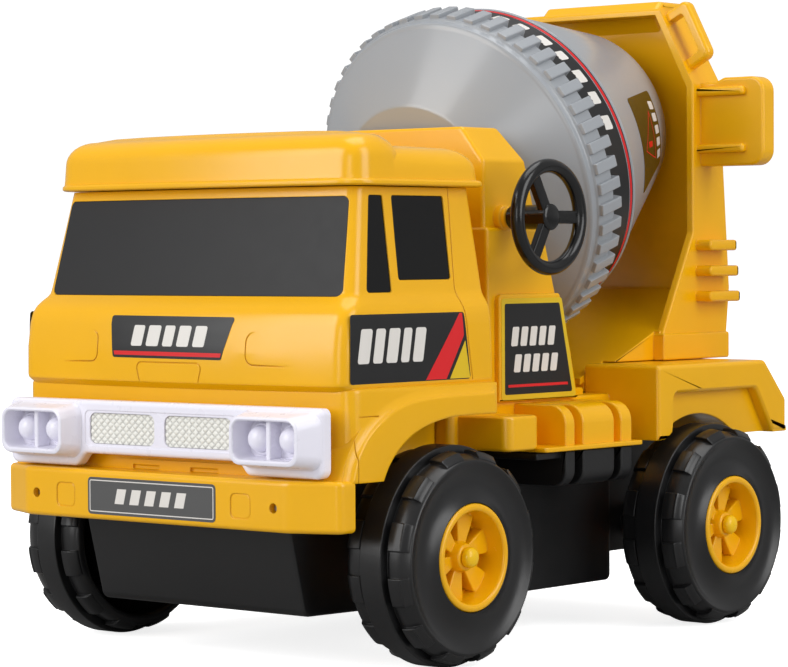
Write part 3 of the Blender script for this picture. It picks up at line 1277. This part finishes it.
PLATE_LABEL = [
    (PLATE, VINYL_GREY, 0),
    *border(inset(ccw(PLATE), 0.9), inset(ccw(PLATE), 1.25), VINYL_WHITE),
    *white_blocks(-17.5, [4.4] * 5, 2.8, 55.0, 60.2, lean=1.4, radius=0)]

for side, hand in ((1, "left"), (-1, "right")):
    film(CAB_LABEL, on_side(side), f"cab_label_{hand}", steps=(None, 3.0))
    film(TOWER_LABEL, on_tower(side), f"tower_label_{hand}")
film(BONNET_LABEL, on_front, "bonnet_label", steps=(3.0, 3.0))
film(PLATE_LABEL, on_bumper, "bumper_plate")

# ---- CAD parts kept as they are, with a material --------------------------------------
CARRIED = (
    (STEEL, ("bumper_pin_left", "bumper_pin_right", "chassis_screw_front_left",
             "chassis_screw_front_right", "chassis_screw_rear_left", "chassis_screw_rear_right",
             "cover_screw_left", "cover_screw_right", "crank_shaft", "front_axle", "rear_axle")),
    (BLACK, ("drive_pinion", "drum_drive_gear", "drum_rear_pin", "shaft_clip")),
    (YELLOW, ("tower_cover",)),
)
for mat, nodes in CARRIED:
    for node in nodes:
        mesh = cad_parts[node].data
        mesh.materials.clear()
        mesh.materials.append(mat)


# ---- floor and world ------------------------------------------------------------------
def floor_material():
    """Pale paper: white to the camera, and a soft grey in reflections so that it doesn't wash
    out the underside."""
    mat = bpy.data.materials.new("floor_paper")
    mat.use_nodes = True
    tree = mat.node_tree
    shader = tree.nodes["Principled BSDF"].inputs
    shader["Roughness"].default_value = 0.9
    shader["Specular IOR Level"].default_value = 0.1
    shader["Emission Color"].default_value = (1, 1, 1, 1)
    cloud = add_node(tree, "TexNoise", {"Scale": 3.0})
    paper = mix_colour(tree, {"A": (0.93, 0.93, 0.93, 1), "B": (0.96, 0.96, 0.96, 1),
                              "Factor": cloud.outputs["Fac"]})
    seen = add_node(tree, "LightPath", {}).outputs["Is Camera Ray"]
    tint = mix_colour(tree, {"A": (0.36, 0.36, 0.36, 1), "Factor": seen, "B": paper})
    tree.links.new(tint, shader["Base Color"])
    glow = add_node(tree, "Math", {1: 0.80, 0: seen}, operation="MULTIPLY")
    tree.links.new(glow.outputs[0], shader["Emission Strength"])
    return mat


def studio_world():
    """Dim white light, but bright white where the camera sees it."""
    world = bpy.data.worlds.new("studio")
    world.use_nodes = True
    tree = world.node_tree
    dim = tree.nodes["Background"]
    dim.inputs["Color"].default_value = (1.0, 1.0, 1.0, 1)
    dim.inputs["Strength"].default_value = 0.42
    bright = add_node(tree, "Background", {"Color": (1.0, 1.0, 1.0, 1), "Strength": 1.05})
    path = add_node(tree, "LightPath", {})
    pick = add_node(tree, "MixShader", {
        "Fac": path.outputs["Is Camera Ray"],
        1: dim.outputs["Background"],
        2: bright.outputs["Background"]})
    tree.links.new(pick.outputs["Shader"], tree.nodes["World Output"].inputs["Surface"])
    return world


floor_bm = bmesh.new()
bmesh.ops.create_grid(floor_bm, x_segments=2, y_segments=2, size=14.0)
floor = new_object("floor", to_mesh(floor_bm, "floor"))
floor.data.materials.append(floor_material())
scene = bpy.context.scene
scene.world = studio_world()


# ---- lights and camera: world metres --------------------------------------------------
def area_light(name, place, aim_z, size, power):
    """A rectangular light aimed at (0, 0, aim_z)."""
    data = bpy.data.lights.new(name, "AREA")
    data.energy = power
    data.shape = "RECTANGLE"
    data.size, data.size_y = size
    obj = new_object(name, data)
    obj.location = place
    aim = Vector((0, 0, aim_z)) - Vector(place)
    obj.rotation_euler = aim.to_track_quat("-Z", "Y").to_euler()


area_light("key", place=(-0.55, -1.35, 0.70), aim_z=0.12, size=(0.9, 1.1), power=13.5)
area_light("side", place=(1.40, 0.10, 0.75), aim_z=0.12, size=(0.8, 1.3), power=11.5)
area_light("top", place=(0.05, 0.15, 1.5), aim_z=0.1, size=(1.0, 1.0), power=8.0)
area_light("front", place=(0.75, -1.6, 0.30), aim_z=0.08, size=(0.5, 0.7), power=3.0)

CAMERA_PLACE = (0.73194, -0.86740 + SHIFT_Y * 0.001, 0.14125)
HEADING = math.radians(40.289)       # from +Y towards -X
PITCH = math.radians(1.519)          # downwards
ROLL = math.radians(-0.288)

lens = bpy.data.cameras.new("photo_view")
lens.sensor_fit = "HORIZONTAL"
lens.sensor_width = 36.0
lens.lens = 137.969543147
lens.clip_start = 0.05
lens.clip_end = 30.0
ahead = Vector((-math.sin(HEADING) * math.cos(PITCH), math.cos(HEADING) * math.cos(PITCH),
                -math.sin(PITCH)))
level_right = Vector((math.cos(HEADING), math.sin(HEADING), 0))
level_up = level_right.cross(ahead)
right = math.cos(ROLL) * level_right + math.sin(ROLL) * level_up
up = -math.sin(ROLL) * level_right + math.cos(ROLL) * level_up
camera = new_object("photo_view", lens)
camera.matrix_world = Matrix((
    *[(right[i], up[i], -ahead[i], CAMERA_PLACE[i]) for i in range(3)], (0, 0, 0, 1)))
scene.camera = camera
scene.view_settings.view_transform = "Standard"
scene.view_settings.look = "None"
